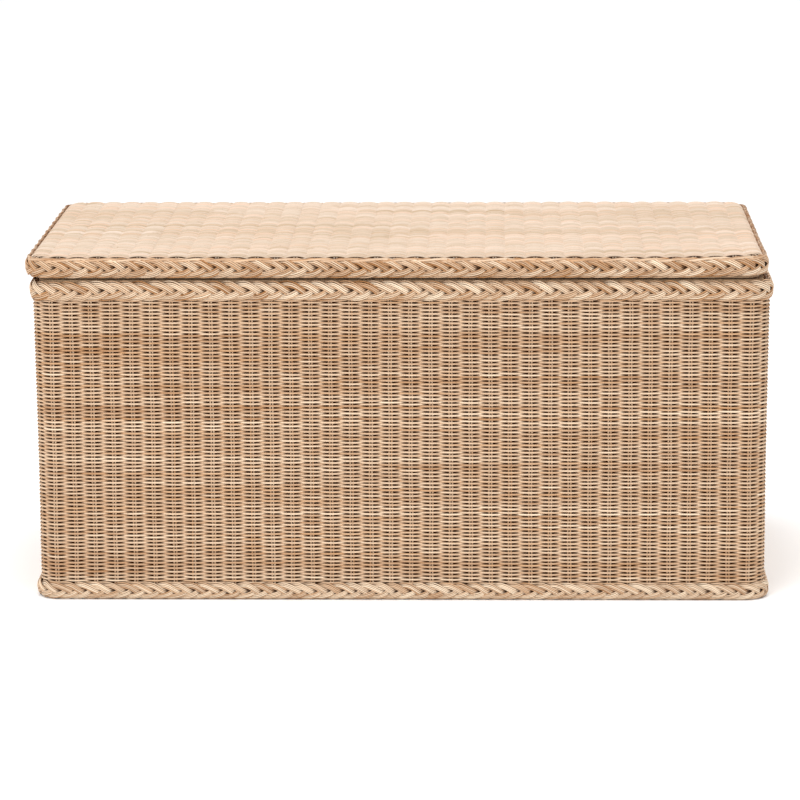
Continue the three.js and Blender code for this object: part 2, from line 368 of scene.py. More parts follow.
def warped(points, node):
    """Lifts or lowers the reeds near a border's front corner, where the trunk has warped."""
    if node in WARPS:
        hand, lift, reach = WARPS[node]
        low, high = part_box(node)
        corner = high.x if hand > 0 else low.x
        away = np.hypot(points[..., 0] - corner, points[..., 1] - low.y)
        points[..., 2] += lift * (1 - away / reach).clip(0) ** WARP_CURVE
    return points


# ---- The wall ----

WALL_CORNER_RADIUS = 32 * MM
FOOT_OVERLAP = 3 * MM  # how far the rows run on behind the foot braid
RIM_OVERLAP = 4 * MM  # and behind the rim braid
STAKE_ENDS = 8 * MM  # how far the stakes stand out past the rows
STAKE_POINTS = 26
STAKE_TONE_SPREAD = 0.1
WALL_TONE = 0.5
WALL_STAKE_TONE = 0.45
STAKES_DRIFT = 0.72 * MM  # how far neighbouring stakes stray together from an even spacing
STAKE_STRAY = 0.27 * MM  # and each stake pair alone
STAKE_SWAY = 0.5 * MM
STAKE_SWAY_SPEED = (4, 9)  # turns of the sway to a metre of height
ROWS_SAG = 0.5 * MM  # how far all the rows rise and fall together round the wall
ROW_STRAY = 0.17 * MM  # and each row alone
REED_UNEVENNESS = 0.04  # how much a weaver's height changes along it
DEPTH_UNEVENNESS = 0.06


def stake_places(count, length):
    """Where the stake pairs are, as distances round a loop of this length."""
    places = (np.arange(count) + 0.5) * length / count
    drift = STAKES_DRIFT * wander(np.arange(count) / count, 2, 5)
    return places + drift + chance.normal(0, STAKE_STRAY, count)


def swing(phase):
    """How far to the front a weaver lies, from 1 in front of a stake pair to -1 behind it."""
    wave = np.cos(phase)
    return wave * (1 + SWING_FLATNESS * (1 - wave**2))


def weaver_half_height(forward):
    """A weaver is pressed fuller where it passes the stakes, mostly on the inside."""
    outside = OUTER_SWELL * forward**2
    inside = INNER_SWELL * np.abs(forward) ** INNER_CURVE
    return WEAVER_HALF_HEIGHT + np.where(forward > 0, outside, inside)


def bundled_tones(rows, turn, shared, own):
    """Tones for rows of weavers. Reeds are woven in by the bundle, so that neighbours are alike:
    shared is how much the bundles differ, and own how much the reeds of one bundle do."""
    tones = []
    while len(tones) < rows:
        bundle = spliced_tone(turn, shared)
        for _ in range(chance.integers(*BUNDLE_ROWS)):
            tones.append(bundle + spliced_tone(turn, own) + ROW_TONE_DRIFT * wander(turn, 5, 30))
    return tones[:rows]


def flare(height, bottom, top):
    """How far the wall leans out at a height."""
    share = (height - bottom) / (top - bottom)
    leaning = np.clip(share - FLARE_FOOT, 0, 1) / (1 - FLARE_FOOT)
    return WALL_FLARE * leaning**FLARE_CURVE


def wall_strands():
    """The wall's weavers, with what its stakes need: the loop that the wall follows, where the
    stakes are at a height, and the heights where the rows start and end."""
    low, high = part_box("body_weave")
    foot_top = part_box("foot_braid")[1].z
    rim_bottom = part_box("rim_braid")[0].z
    loop = Loop(low, high, WEAVE_THICKNESS / 2, WALL_CORNER_RADIUS)
    bottom, top = foot_top - FOOT_OVERLAP, rim_bottom + RIM_OVERLAP
    rows = round((top - bottom) / ROW_PITCH)
    places = stake_places(WALL_STAKE_PAIRS, loop.length)
    sway_speed = chance.uniform(*STAKE_SWAY_SPEED, WALL_STAKE_PAIRS)
    sway_start = chance.uniform(0, TURN, WALL_STAKE_PAIRS)

    def swayed(height):
        return places + STAKE_SWAY * np.sin(TURN * sway_speed * height + sway_start)

    steps = WALL_STAKE_PAIRS * STEPS_PER_STAKE
    number = np.arange(steps) / STEPS_PER_STAKE
    turn = number / WALL_STAKE_PAIRS
    sag = wander(turn, 2, 6)
    tones = bundled_tones(rows, turn, 0.07, 0.10)
    weavers = []
    for row in range(rows):
        share = (row + 0.5) / rows
        height = bottom + share * (top - bottom)
        near = swayed(height)
        wrapped = np.concatenate([near[-1:] - loop.length, near, near[:1] + loop.length])
        distance = np.interp(number, np.arange(-1, WALL_STAKE_PAIRS + 1) + 0.5, wrapped)
        forward = swing(math.pi * (number - 0.5 + row))
        level = height + WEAVER_STEP * forward + ROWS_SAG * sag + ROW_STRAY * wander(turn, 20, 60)
        proud = WEAVE_SWING * forward + flare(height, bottom, top)
        points, outward = loop.place(distance, proud, level)
        tone = WALL_TONE + bundle_and_painted_light_tone(share, turn) + tones[row]
        half_height = weaver_half_height(forward) * (1 + REED_UNEVENNESS * wander(turn, 10, 40))
        half_depth = WEAVER_HALF_DEPTH * (1 + DEPTH_UNEVENNESS * wander(turn, 8, 30))
        weavers.append(
            strand(points, UP, outward, half_height, half_depth, tone, forward, closed=True)
        )
    return loop, weavers, swayed, bottom, top


def wall_stakes(loop, swayed, bottom, top):
    """Pairs of upright stakes all round the wall, between the weavers' outer and inner bends."""
    heights = np.linspace(bottom - STAKE_ENDS, top + STAKE_ENDS, STAKE_POINTS)
    made = []
    for pair in range(WALL_STAKE_PAIRS):
        middle = np.array([swayed(height)[pair] for height in heights])
        for hand in (-1, 1):
            proud = flare(heights, bottom, top)
            points, outward = loop.place(middle + hand * STAKE_SPACING / 2, proud, heights)
            along = np.cross(outward, UP)
            tone = WALL_STAKE_TONE + chance.normal(0, STAKE_TONE_SPREAD)
            made.append(strand(points, along, outward, STAKE_RADIUS, STAKE_RADIUS, tone))
    return made


# ---- The lid's woven panel ----

LID_STAKE_PAIRS = 37
LID_EDGE_INSET = 7.8 * MM  # from the lid braid's outer face to the ends of the weave
LID_CORNER_RADIUS = 38 * MM
END_DROP = 4.0 * MM  # the weave's edge turns down behind the braid
END_REACH = 9 * MM
EDGE_DROP_SHARE = 0.2  # along the front and back edges it turns down by this much of that
LID_STAKE_STRAY = 0.5 * MM
LID_STAKE_POINTS = 60
LID_STAKE_END = 1 * MM  # the stakes end this far inside the outline
LID_TONE = 0.55
LID_STAKE_TONE = 0.5
LID_TONE_POINTS = 200
ROWS_SLACK = 0.35 * MM  # how far all the rows bow together
LID_ROW_STRAY = 0.15 * MM  # and each row alone


class Panel:
    """The lid's outline, inside its braid, and how far a reed reaches in it."""

    def __init__(self):
        low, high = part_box("lid_braid")
        self.middle = np.array([(low.x + high.x) / 2, (low.y + high.y) / 2])
        self.half = np.array([(high.x - low.x) / 2, (high.y - low.y) / 2]) - LID_EDGE_INSET
        self.radius = LID_CORNER_RADIUS - LID_EDGE_INSET
        self.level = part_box("lid_weave")[1].z - WEAVE_THICKNESS / 2

    def reach(self, axis, across):
        """Half the length of a reed along axis that lies across from the panel's middle."""
        past = abs(across) - (self.half[1 - axis] - self.radius)
        if past <= 0:
            return self.half[axis]
        corner = math.sqrt(max(self.radius**2 - past**2, 0))
        return self.half[axis] - self.radius + corner

    def drop(self, along, reach):
        """How far the weave has turned down, near the end of its reach."""
        over = (np.abs(along) - (reach - END_REACH)).clip(0) / END_REACH
        return END_DROP * over**2


def lid_weavers(panel, places):
    """The rows from end to end, over and under stake pairs at these places."""
    edge = panel.half[1] - WEAVER_HALF_HEIGHT
    rows = round(2 * edge / ROW_PITCH)
    pitch = 2 * panel.half[0] / LID_STAKE_PAIRS
    numbers = np.arange(-1, LID_STAKE_PAIRS + 1)
    bow = chance.random(3)
    even_turn = np.linspace(0, 1, LID_TONE_POINTS)
    tones = bundled_tones(rows, even_turn, 0.12, 0.09)
    made = []
    for row in range(rows):
        across = (row + 0.5) / rows * 2 * edge - edge
        reach = panel.reach(0, across)
        count = int(round(2 * reach / pitch * STEPS_PER_STAKE)) + 1
        along = np.linspace(-reach, reach, count)
        turn = (along + panel.half[0]) / (2 * panel.half[0])
        forward = swing(math.pi * (np.interp(along, places, numbers) + row))
        slack = np.sin(TURN * (turn * 2 + bow[0])) + np.sin(TURN * (turn * 3 + bow[1]))
        strayed = ROWS_SLACK * slack + LID_ROW_STRAY * wander(turn, 8, 20)
        points = np.empty((count, 3))
        points[:, 0] = panel.middle[0] + along
        points[:, 1] = panel.middle[1] + across + strayed
        points[:, 2] = panel.level + WEAVE_SWING * forward - panel.drop(along, reach)
        points[:, 2] -= EDGE_DROP_SHARE * panel.drop(across, panel.half[1])
        points = warped(points, "lid_braid")
        tone = LID_TONE + np.interp(turn, even_turn, tones[row])
        half_height = weaver_half_height(forward) * (1 + REED_UNEVENNESS * wander(turn, 5, 20))
        made.append(strand(points, TO_BACK, UP, half_height, WEAVER_HALF_DEPTH, tone, forward))
    return made


def lid_stakes(panel, places):
    """Two stakes from front to back at each of these places."""
    made = []
    for place in places:
        for hand in (-1, 1):
            across = place + hand * STAKE_SPACING / 2
            reach = panel.reach(1, across) - LID_STAKE_END
            along = np.linspace(-reach, reach, LID_STAKE_POINTS)
            points = np.empty((len(along), 3))
            points[:, 0] = panel.middle[0] + across
            points[:, 1] = panel.middle[1] + along
            points[:, 2] = panel.level - panel.drop(along, reach)
            points = warped(points, "lid_braid")
            tone = LID_STAKE_TONE + chance.normal(0, STAKE_TONE_SPREAD)
            made.append(strand(points, TO_RIGHT, UP, STAKE_RADIUS, STAKE_RADIUS, tone))
    return made


def lid_strands():
    """The panel's weavers and stakes. The row of places reaches one stake pair past each end."""
    panel = Panel()
    pitch = 2 * panel.half[0] / LID_STAKE_PAIRS
    places = (np.arange(-1, LID_STAKE_PAIRS + 1) + 0.5) * pitch - panel.half[0]
    places += chance.normal(0, LID_STAKE_STRAY, len(places))
    return lid_weavers(panel, places), lid_stakes(panel, places[1:-1])


# ---- The plaited borders ----

PLAIT_CORNER_RADIUS = 38 * MM
REED_SPACING_SHARE = 0.081  # between a ribbon's reeds, as a share of the border's height
REED_FATNESS = 0.53  # a reed's radius, as a share of that distance
REED_FLATNESS = 0.90
PLAIT_UNEVENNESS = 0.05  # how much the reeds' spacing and thickness change along them
OUTERMOST_CURVE = 3  # so that only the outer reeds of a ribbon lie low and dark
CURL_CURVE = 3
REED_RISE_STRAY = 0.12 * MM  # how far a reed strays up and down, and in and out
REED_PROUD_STRAY = 0.10 * MM
REED_TONE = 0.08  # how much paler than its ribbon a reed is, before its edges are darkened
REED_TONE_SPREAD = 0.06
# Painted shade along the edges of each ribbon, where it meets the next.
OUTER_REED_SHADE = 0.34  # how much darker a ribbon's outermost reeds are
LAYER_SHARE = 2.4  # how far a ribbon goes to the front or back, in a reed's half thicknesses
MIDDLE_DROP_SHARE = 0.065  # how low the line lies where the strokes meet, in border heights
FACE_TILT, FACE_RISE = 0.6, 0.77  # how far a reed's face has turned up or down at the edges
HINGE_ROOM = 3.2 * MM  # how far a plait is pressed away from the hinges
HINGE_REACH = 9 * MM  # and over what length beside them
HINGE_DEPTH = 30 * MM  # and how far in from the back
HINGE_NODES = ("hinge_left_pin", "hinge_right_pin")


def pressed_by_hinges(points, middle_height, half_height, side):
    """Presses a border away from the hinges at its edge on that side, 1 for the top and -1 for
    the bottom."""
    for node in HINGE_NODES:
        low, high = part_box(node)
        past = np.abs(points[..., 0] - (low.x + high.x) / 2) - (high.x - low.x) / 2
        nearness = (1 - past / HINGE_REACH).clip(0, 1)
        nearness = nearness**2 * (3 - 2 * nearness)
        nearness = nearness * (points[..., 1] > low.y - HINGE_DEPTH)
        share = (side * (points[..., 2] - middle_height) / half_height).clip(0)
        points[..., 2] -= side * HINGE_ROOM * share * nearness
    return points


REED_LAG = 0.45  # the upper reeds of a falling ribbon dive later by this share of their spacing
DIVE_STEEPNESS = 3.0


def plait_layer(phase):
    """How far to the front a reed of the plait lies, from 1 to -1. It comes round an edge at the
    middle of the plait's thickness, rises to the front, and dives just after the middle line."""
    dive = np.tanh(DIVE_STEEPNESS * np.sin(2 * phase)) / math.tanh(DIVE_STEEPNESS)
    return -np.abs(np.cos(phase)) * dive


def section_ways(points, outward, edge):
    """The two directions of a reed's section. Its face turns down and up with edge, which goes
    from -1 at the plait's lower edge to 1 at its upper edge."""
    out = outward * np.sqrt(1 - FACE_TILT * edge**2)[:, None]
    out = out + UP * (FACE_RISE * edge)[:, None]
    along = np.roll(points, -1, axis=0) - np.roll(points, 1, axis=0)
    along /= np.linalg.norm(along, axis=1, keepdims=True)
    side = np.cross(out, along)
    side /= np.linalg.norm(side, axis=1, keepdims=True)
    return side, np.cross(along, side)


def plait_strands(border):
    """A flat plait of five ribbons. Each ribbon passes over from an edge to the plait's middle,
    then under to the other edge."""
    low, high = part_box(border["node"])
    height = high.z - low.z - border["clearance"] * MM
    middle_height = high.z - height / 2
    reed_spacing = REED_SPACING_SHARE * height
    reed_radius = REED_FATNESS * reed_spacing
    half_out = REED_FLATNESS * reed_radius
    layer = LAYER_SHARE * half_out
    face = layer + half_out - PLAIT_STANDS_PROUD
    loop = Loop(low, high, face, PLAIT_CORNER_RADIUS)
    swing_height = height / 2 - (REEDS_PER_RIBBON - 1) / 2 * reed_spacing - reed_radius
    middle_drop = MIDDLE_DROP_SHARE * height
    strokes = border["strokes"]
    wavelength = loop.length / strokes * RIBBONS
    steps = strokes * STEPS_PER_STROKE
    turn = np.arange(steps) / steps
    lower_curl, upper_curl = border["curl"]
    made = []
    for ribbon in range(RIBBONS):
        phase = TURN * (turn * strokes / RIBBONS + ribbon / RIBBONS)
        phase = phase + RIBBON_STRAY * wander(turn, 20, 70)
        level = swing_height * np.sin(phase) - middle_drop * np.cos(phase) ** 2
        slope = swing_height * np.cos(phase) + middle_drop * np.sin(2 * phase)
        slope = slope * TURN / wavelength
        lean = np.sqrt(1 + slope**2)
        ribbon_tone = border["tone"] + spliced_tone(turn, RIBBON_TONE_SPREAD)
        ribbon_tone = ribbon_tone + RIBBON_TONE_DRIFT * wander(turn, 20, 60)
        for reed in range(REEDS_PER_RIBBON):
            place = reed - (REEDS_PER_RIBBON - 1) / 2
            outermost = (2 * abs(place) / (REEDS_PER_RIBBON - 1)) ** OUTERMOST_CURVE
            beside = place * reed_spacing * (1 + PLAIT_UNEVENNESS * wander(turn, 30, 90))
            distance = turn * loop.length - beside * slope / lean
            rise = level + beside / lean + REED_RISE_STRAY * wander(turn, 40, 120)
            over = plait_layer(phase - np.cos(phase) * beside * REED_LAG * TURN / wavelength)
            edge = (2 * rise / height).clip(-1, 1)
            curl = np.where(edge < 0, lower_curl, upper_curl) * np.abs(edge) ** CURL_CURVE
            proud = layer * over - curl * MM - RIBBON_BULGE * outermost
            proud = proud + REED_PROUD_STRAY * wander(turn, 30, 90)
            points, outward = loop.place(distance, proud, middle_height + rise)
            if border["hinge_side"]:
                points = pressed_by_hinges(points, middle_height, height / 2, border["hinge_side"])
            points = warped(points, border["node"])
            side, out = section_ways(points, outward, edge)
            tone = ribbon_tone + chance.normal(REED_TONE, REED_TONE_SPREAD)
            tone = tone + REED_TONE_SPREAD * wander(turn, 10, 40) - OUTER_REED_SHADE * outermost
            radius = reed_radius * (1 + PLAIT_UNEVENNESS * wander(turn, 20, 60))
            made.append(strand(points, side, out, radius, half_out, tone, over, closed=True))
    return made


def core_strands(border):
    """Thick rods that run round behind a plait and fill the border."""
    low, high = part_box(border["node"])
    loop = Loop(low, high, CORE_INSET, PLAIT_CORNER_RADIUS)
    turn = np.arange(CORE_STEPS) / CORE_STEPS
    made = []
    for height in border["rods"]:
        level = low.z + height * MM + CORE_STRAY * wander(turn, 5, 20)
        points, outward = loop.place(turn * loop.length, 0 * turn, level)
        points = warped(points, border["node"])
        tone = CORE_TONE + CORE_TONE_DRIFT * wander(turn, 5, 20)
        rod = strand(points, UP, outward, CORE_RADIUS, CORE_RADIUS, tone, CORE_IN_SHADE, True)
        made.append(rod)
    return made


ROPE_INSET = 5.4 * MM  # from the lid braid's outer face to the rope's middle
ROPE_RADIUS = 2.1 * MM
ROPE_TWIST = 88 * MM  # the length of one turn of its two strands
ROPE_STEPS = 16  # points to a turn
ROPE_SWING = 0.75 * ROPE_RADIUS  # how far a strand goes round the rope's middle
ROPE_DEPTH = 1.75 * ROPE_RADIUS  # from the braid's top to the rope's middle
ROPE_UNEVENNESS = 0.06
ROPE_TONE = 0.42
ROPE_TONE_SPREAD = 0.12
ROPE_TONE_DRIFT = 0.14


def edge_rope_strands():
    """Two strands twisted together, which close the top of the lid's plait against the weave."""
    low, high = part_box("lid_braid")
    loop = Loop(low, high, ROPE_INSET, PLAIT_CORNER_RADIUS)
    twists = round(loop.length / ROPE_TWIST)
    steps = twists * ROPE_STEPS
    turn = np.arange(steps) / steps
    made = []
    for hand in (0, 0.5):
        angle = TURN * (twists * turn + hand)
        proud = ROPE_SWING * np.cos(angle)
        level = high.z - ROPE_DEPTH + ROPE_SWING * np.sin(angle)
        points, outward = loop.place(turn * loop.length, proud, level)
        points = pressed_by_hinges(points, (low.z + high.z) / 2, (high.z - low.z) / 2, side=-1)
        points = warped(points, "lid_braid")
        tone = ROPE_TONE + spliced_tone(turn, ROPE_TONE_SPREAD)
        tone = tone + ROPE_TONE_DRIFT * wander(turn, 20, 60)
        radius = ROPE_RADIUS * (1 + ROPE_UNEVENNESS * wander(turn, 20, 60))
        made.append(strand(points, UP, outward, radius, radius, tone, closed=True))
    return made


# ---- Shader groups ----


class Nodes:
    """Short ways to add nodes to one tree and link them."""

    def __init__(self, tree):
        self.tree = tree

    def add(self, kind, **values):
        node = self.tree.nodes.new(kind)
        for key, value in values.items():
            setattr(node, key, value)
        return node

    def link(self, source, target):
        self.tree.links.new(source, target)

    def fill(self, socket, value):
        """Sets a socket, or links it where the value is another node's output."""
        if isinstance(value, bpy.types.NodeSocket):
            self.link(value, socket)
        else:
            socket.default_value = value

    def maths(self, operation, first, second=0.0):
        node = self.add("ShaderNodeMath", operation=operation)
        self.fill(node.inputs[0], first)
        self.fill(node.inputs[1], second)
        return node.outputs[0]

    def noise(self, vector, scale, detail=2.0, roughness=0.5):
        node = self.add("ShaderNodeTexNoise")
        self.link(vector, node.inputs["Vector"])
        self.fill(node.inputs["Scale"], scale)
        node.inputs["Detail"].default_value = detail
        node.inputs["Roughness"].default_value = roughness
        return node.outputs["Fac"]

    def stretch(self, vector, scale):
        node = self.add("ShaderNodeVectorMath", operation="MULTIPLY")
        self.link(vector, node.inputs[0])
        self.fill(node.inputs[1], scale)
        return node.outputs[0]

    def shift(self, vector, offset):
        node = self.add("ShaderNodeVectorMath", operation="ADD")
        self.link(vector, node.inputs[0])
        self.fill(node.inputs[1], offset)
        return node.outputs[0]

    def between(self, value, low, high, new_low=0.0, new_high=1.0):
        node = self.add("ShaderNodeMapRange")
        self.link(value, node.inputs["Value"])
        node.inputs["From Min"].default_value = low
        node.inputs["From Max"].default_value = high
        node.inputs["To Min"].default_value = new_low
        node.inputs["To Max"].default_value = new_high
        return node.outputs["Result"]

    def mix(self, share, first, second, blend="MIX"):
        node = self.add("ShaderNodeMix", data_type="RGBA", blend_type=blend)
        self.fill(node.inputs["Factor"], share)
        self.fill(node.inputs["A"], first)
        self.fill(node.inputs["B"], second)
        return node.outputs["Result"]


def new_group(name, inputs, outputs):
    """A shader group with these sockets, its nodes, and the sockets' inner ends."""
    group = bpy.data.node_groups.new(name, "ShaderNodeTree")
    kinds = {"colour": "NodeSocketColor", "value": "NodeSocketFloat", "vector": "NodeSocketVector"}
    for socket, kind in inputs.items():
        group.interface.new_socket(socket, in_out="INPUT", socket_type=kinds[kind])
    for socket, kind in outputs.items():
        group.interface.new_socket(socket, in_out="OUTPUT", socket_type=kinds[kind])
    nodes = Nodes(group)
    source = nodes.add("NodeGroupInput")
    target = nodes.add("NodeGroupOutput")
    return group, nodes, source.outputs, target.inputs


def reed_group():
    """Reed skin: long streaks, short flecks and a colour that changes from reed to reed, with
    painted shade on the inner side of a reed, where it meets its neighbours and deep in the weave.
    """
    group, nodes, given, made = new_group(
        "reed skin",
        {
            "Pale": "colour",
            "Deep": "colour",
            "Blush": "colour",
            "Fleck": "colour",
            "Shade between reeds": "colour",
            "Inner shade": "colour",
            "Seam": "value",
        },
        {"Color": "colour", "Roughness": "value", "Height": "value"},
    )
    reed = nodes.add("ShaderNodeAttribute", attribute_name="reed").outputs["Vector"]
    tone = nodes.add("ShaderNodeAttribute", attribute_name="tone").outputs["Fac"]
    seed = nodes.add("ShaderNodeAttribute", attribute_name="seed").outputs["Vector"]
    apart = nodes.stretch(seed, (91.0, 57.0, 33.0))  # so that no two reeds look alike

    # The first number is how many streaks there are to a metre of reed.
    long_way = nodes.shift(nodes.stretch(reed, (9.0, 0.9, 0.9)), apart)
    fine_way = nodes.shift(nodes.stretch(reed, (60.0, 3.2, 3.2)), apart)
    fleck_way = nodes.shift(nodes.stretch(reed, (210.0, 1.6, 1.6)), apart)
    streak = nodes.noise(long_way, 1.0, detail=3.0)
    grain = nodes.noise(fine_way, 1.0, detail=3.0, roughness=0.6)
    fleck = nodes.noise(fleck_way, 1.0, detail=1.0)

    # The colour of the skin, from its tone, with reddish lengths and dark flecks.
    drift = nodes.between(streak, 0.3, 0.7, -0.22, 0.22)
    shade = nodes.maths("ADD", tone, drift)
    shade = nodes.maths("ADD", shade, nodes.between(grain, 0.3, 0.7, -0.08, 0.08))
    clean = nodes.mix(nodes.between(shade, 0.0, 1.0), given["Deep"], given["Pale"])
    blush = nodes.between(nodes.noise(long_way, 0.45, detail=1.0), 0.50, 0.72, 0.0, 0.65)
    warm = nodes.mix(blush, clean, given["Blush"])
    spots = nodes.between(fleck, 0.66, 0.80, 0.0, 0.55)
    skin = nodes.mix(spots, warm, given["Fleck"])

    # Painted shade: the inner side of a reed is darker, and so are the sides where it touches its
    # neighbours and the faces that turn into the depth of the weave.
    turned = nodes.add("ShaderNodeSeparateXYZ")
    nodes.link(reed, turned.inputs[0])
    inward = nodes.between(turned.outputs["Z"], -0.1, -0.7)
    skin = nodes.mix(inward, skin, given["Inner shade"], blend="MULTIPLY")
    sideways = nodes.between(nodes.maths("ABSOLUTE", turned.outputs["Y"]), 0.55, 0.95)
    recess_shade = nodes.add("ShaderNodeAttribute", attribute_name="recess_shade").outputs["Fac"]
    recess_shade = nodes.between(recess_shade, 0.0, 0.7)
    painted_shade = nodes.maths("MAXIMUM", recess_shade, nodes.maths("MULTIPLY", sideways, given["Seam"]))
    skin = nodes.mix(painted_shade, skin, given["Shade between reeds"])
    nodes.link(skin, made["Color"])

    rough = nodes.between(grain, 0.25, 0.75, 0.42, 0.62)
    nodes.link(nodes.maths("MAXIMUM", rough, painted_shade), made["Roughness"])
    nodes.link(nodes.maths("SUBTRACT", grain, nodes.maths("MULTIPLY", spots, 0.6)), made["Height"])
    return group


def wood_group():
    """Planed wood: growth rings drawn out along Grain, with fine pores."""
    group, nodes, given, made = new_group(
        "planed wood",
        {"Pale": "colour", "Deep": "colour", "Grain": "vector"},
        {"Color": "colour", "Roughness": "value", "Height": "value"},
    )
    place = nodes.add("ShaderNodeTexCoord").outputs["Object"]
    along = nodes.stretch(place, given["Grain"])
    rings = nodes.noise(along, 9.0, detail=2.0)
    bands = nodes.maths("FRACT", nodes.maths("MULTIPLY", rings, 11.0))
    late = nodes.between(bands, 0.0, 1.0)
    pores = nodes.noise(along, 160.0, detail=3.0, roughness=0.7)
    shade = nodes.maths("MULTIPLY", late, 0.55)
    shade = nodes.maths("ADD", shade, nodes.between(pores, 0.3, 0.7, -0.15, 0.3))
    skin = nodes.mix(nodes.between(shade, 0.0, 1.0), given["Pale"], given["Deep"])
    nodes.link(skin, made["Color"])
    nodes.link(nodes.between(pores, 0.3, 0.7, 0.5, 0.72), made["Roughness"])
    nodes.link(nodes.maths("ADD", pores, nodes.maths("MULTIPLY", late, 0.3)), made["Height"])
    return group


def metal_group():
    """Plated metal: brushed lines, dull patches and a few darker spots."""
    group, nodes, given, made = new_group(
        "plated metal",
        {"Bright": "colour", "Dull": "colour"},
        {"Color": "colour", "Roughness": "value", "Height": "value"},
    )
    place = nodes.add("ShaderNodeTexCoord").outputs["Object"]
    patches = nodes.noise(place, 90.0, detail=4.0, roughness=0.6)
    brushed = nodes.noise(nodes.stretch(place, (30.0, 900.0, 900.0)), 1.0, detail=2.0)
    worn = nodes.between(patches, 0.42, 0.62)
    nodes.link(nodes.mix(worn, given["Bright"], given["Dull"]), made["Color"])
    rough = nodes.between(worn, 0.0, 1.0, 0.24, 0.5)
    lines = nodes.between(brushed, 0.3, 0.7, 0.0, 0.1)
    nodes.link(nodes.maths("ADD", rough, lines), made["Roughness"])
    nodes.link(nodes.maths("ADD", brushed, nodes.maths("MULTIPLY", patches, 0.5)), made["Height"])
    return group


def grouped_material(name, group, values, bump, metallic=0.0, shine=0.5):
    """A material whose colour, roughness and bump come from a group with these values. bump is
    the height of its relief in metres, and shine is how strongly it reflects."""
    material = bpy.data.materials.new(name)
    material.use_nodes = True
    nodes = Nodes(material.node_tree)
    shader = material.node_tree.nodes["Principled BSDF"]
    shader.inputs["Metallic"].default_value = metallic
    shader.inputs["Specular IOR Level"].default_value = shine
    skin = nodes.add("ShaderNodeGroup", node_tree=group)
    for socket, value in values.items():
        skin.inputs[socket].default_value = value
    relief = nodes.add("ShaderNodeBump")
    relief.inputs["Strength"].default_value = 1.0
    relief.inputs["Distance"].default_value = bump
    nodes.link(skin.outputs["Height"], relief.inputs["Height"])
    nodes.link(skin.outputs["Color"], shader.inputs["Base Color"])
    nodes.link(skin.outputs["Roughness"], shader.inputs["Roughness"])
    nodes.link(relief.outputs["Normal"], shader.inputs["Normal"])
    return material


# ---- Finishes ----

REED = reed_group()
WOOD = wood_group()
METAL = metal_group()
# Painted shade, for the hollows of the weave and the sides where reeds meet.
SHADE_BETWEEN_REEDS = (0.055, 0.016, 0.003)  # where no light gets in between the reeds
# Painted shade on the side of each reed that faces into the trunk.
INNER_SIDE_SHADE = (0.55, 0.45, 0.38)  # how much the inward side of a reed is darkened


def reed_material(name, pale, deep, blush, fleck, seam_shade):
    """Reed from deep to pale by its tone. seam_shade is how dark the painted shade makes a reed
    where it meets the next.
    """
    values = {
        "Pale": (*pale, 1),
        "Deep": (*deep, 1),
        "Blush": (*blush, 1),
        "Fleck": (*fleck, 1),
        "Shade between reeds": (*SHADE_BETWEEN_REEDS, 1),
        "Inner shade": (*INNER_SIDE_SHADE, 1),
        "Seam": seam_shade,
    }
    return grouped_material(name, REED, values, bump=0.12 * MM, shine=0.12)


def wood_material(name, pale, deep, grain):
    values = {"Pale": (*pale, 1), "Deep": (*deep, 1), "Grain": grain}
    return grouped_material(name, WOOD, values, bump=0.15 * MM)


def metal_material(name, bright, dull):
    values = {"Bright": (*bright, 1), "Dull": (*dull, 1)}
    return grouped_material(name, METAL, values, bump=0.03 * MM, metallic=1.0)


wall_reed = reed_material(
    "wall reed",
    pale=(0.82, 0.65, 0.475),
    deep=(0.35, 0.16, 0.058),
    blush=(0.55, 0.31, 0.15),
    fleck=(0.13, 0.06, 0.025),
    seam_shade=0.25,
)
# Painted sheen: the lid has the same reed as the wall, in a greyer copy whose colour stands in for
# the light that glances off the lid's top.
lid_reed = reed_material(
    "lid reed",
    pale=(0.645, 0.535, 0.445),
    deep=(0.38, 0.27, 0.16),
    blush=(0.68, 0.45, 0.32),
    fleck=(0.22, 0.12, 0.06),
    seam_shade=0.2,
)
braid_reed = reed_material(
    "braid reed",
    pale=(0.85, 0.69, 0.515),
    deep=(0.35, 0.16, 0.058),
    blush=(0.55, 0.29, 0.13),
    fleck=(0.12, 0.055, 0.022),
    seam_shade=0.58,
)
FRAME_PALE = (0.52, 0.34, 0.19)
FRAME_DEEP = (0.30, 0.17, 0.085)
frame_wood = {
    "x": wood_material("rail wood", FRAME_PALE, FRAME_DEEP, grain=(0.12, 1.0, 1.0)),
    "y": wood_material("slat wood", FRAME_PALE, FRAME_DEEP, grain=(1.0, 0.12, 1.0)),
    "z": wood_material("post wood", FRAME_PALE, FRAME_DEEP, grain=(1.0, 1.0, 0.12)),
}
board_wood = wood_material(
    "base board veneer",
    pale=(0.66, 0.47, 0.29),
    deep=(0.48, 0.31, 0.17),
    grain=(0.08, 0.7, 1.0),
)
hinge_metal = metal_material("aged brass plate", bright=(0.62, 0.45, 0.20), dull=(0.25, 0.17, 0.08))
screw_metal = metal_material("zinc plate", bright=(0.62, 0.60, 0.55), dull=(0.34, 0.32, 0.28))
WOVEN_NODES = {"body_weave", "lid_weave", "foot_braid", "rim_braid", "lid_braid"}


def node_material(name):
    """The finish of a CAD node that stays as it is."""
    if "_screw_" in name:
        return screw_metal
    if name.startswith("hinge_"):
        return hinge_metal
    if name == "base_board":
        return board_wood
    low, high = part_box(name)
    sides = {"x": high.x - low.x, "y": high.y - low.y, "z": high.z - low.z}
    return frame_wood[max(sides, key=sides.get)]


def finish_nodes():
    """Gives every CAD node that shows its material."""
    for name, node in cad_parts.items():
        if name not in WOVEN_NODES:
            node.data.materials.clear()
            node.data.materials.append(node_material(name))


# ---- Pieces ----

PIECE_TRIANGLES = 180_000


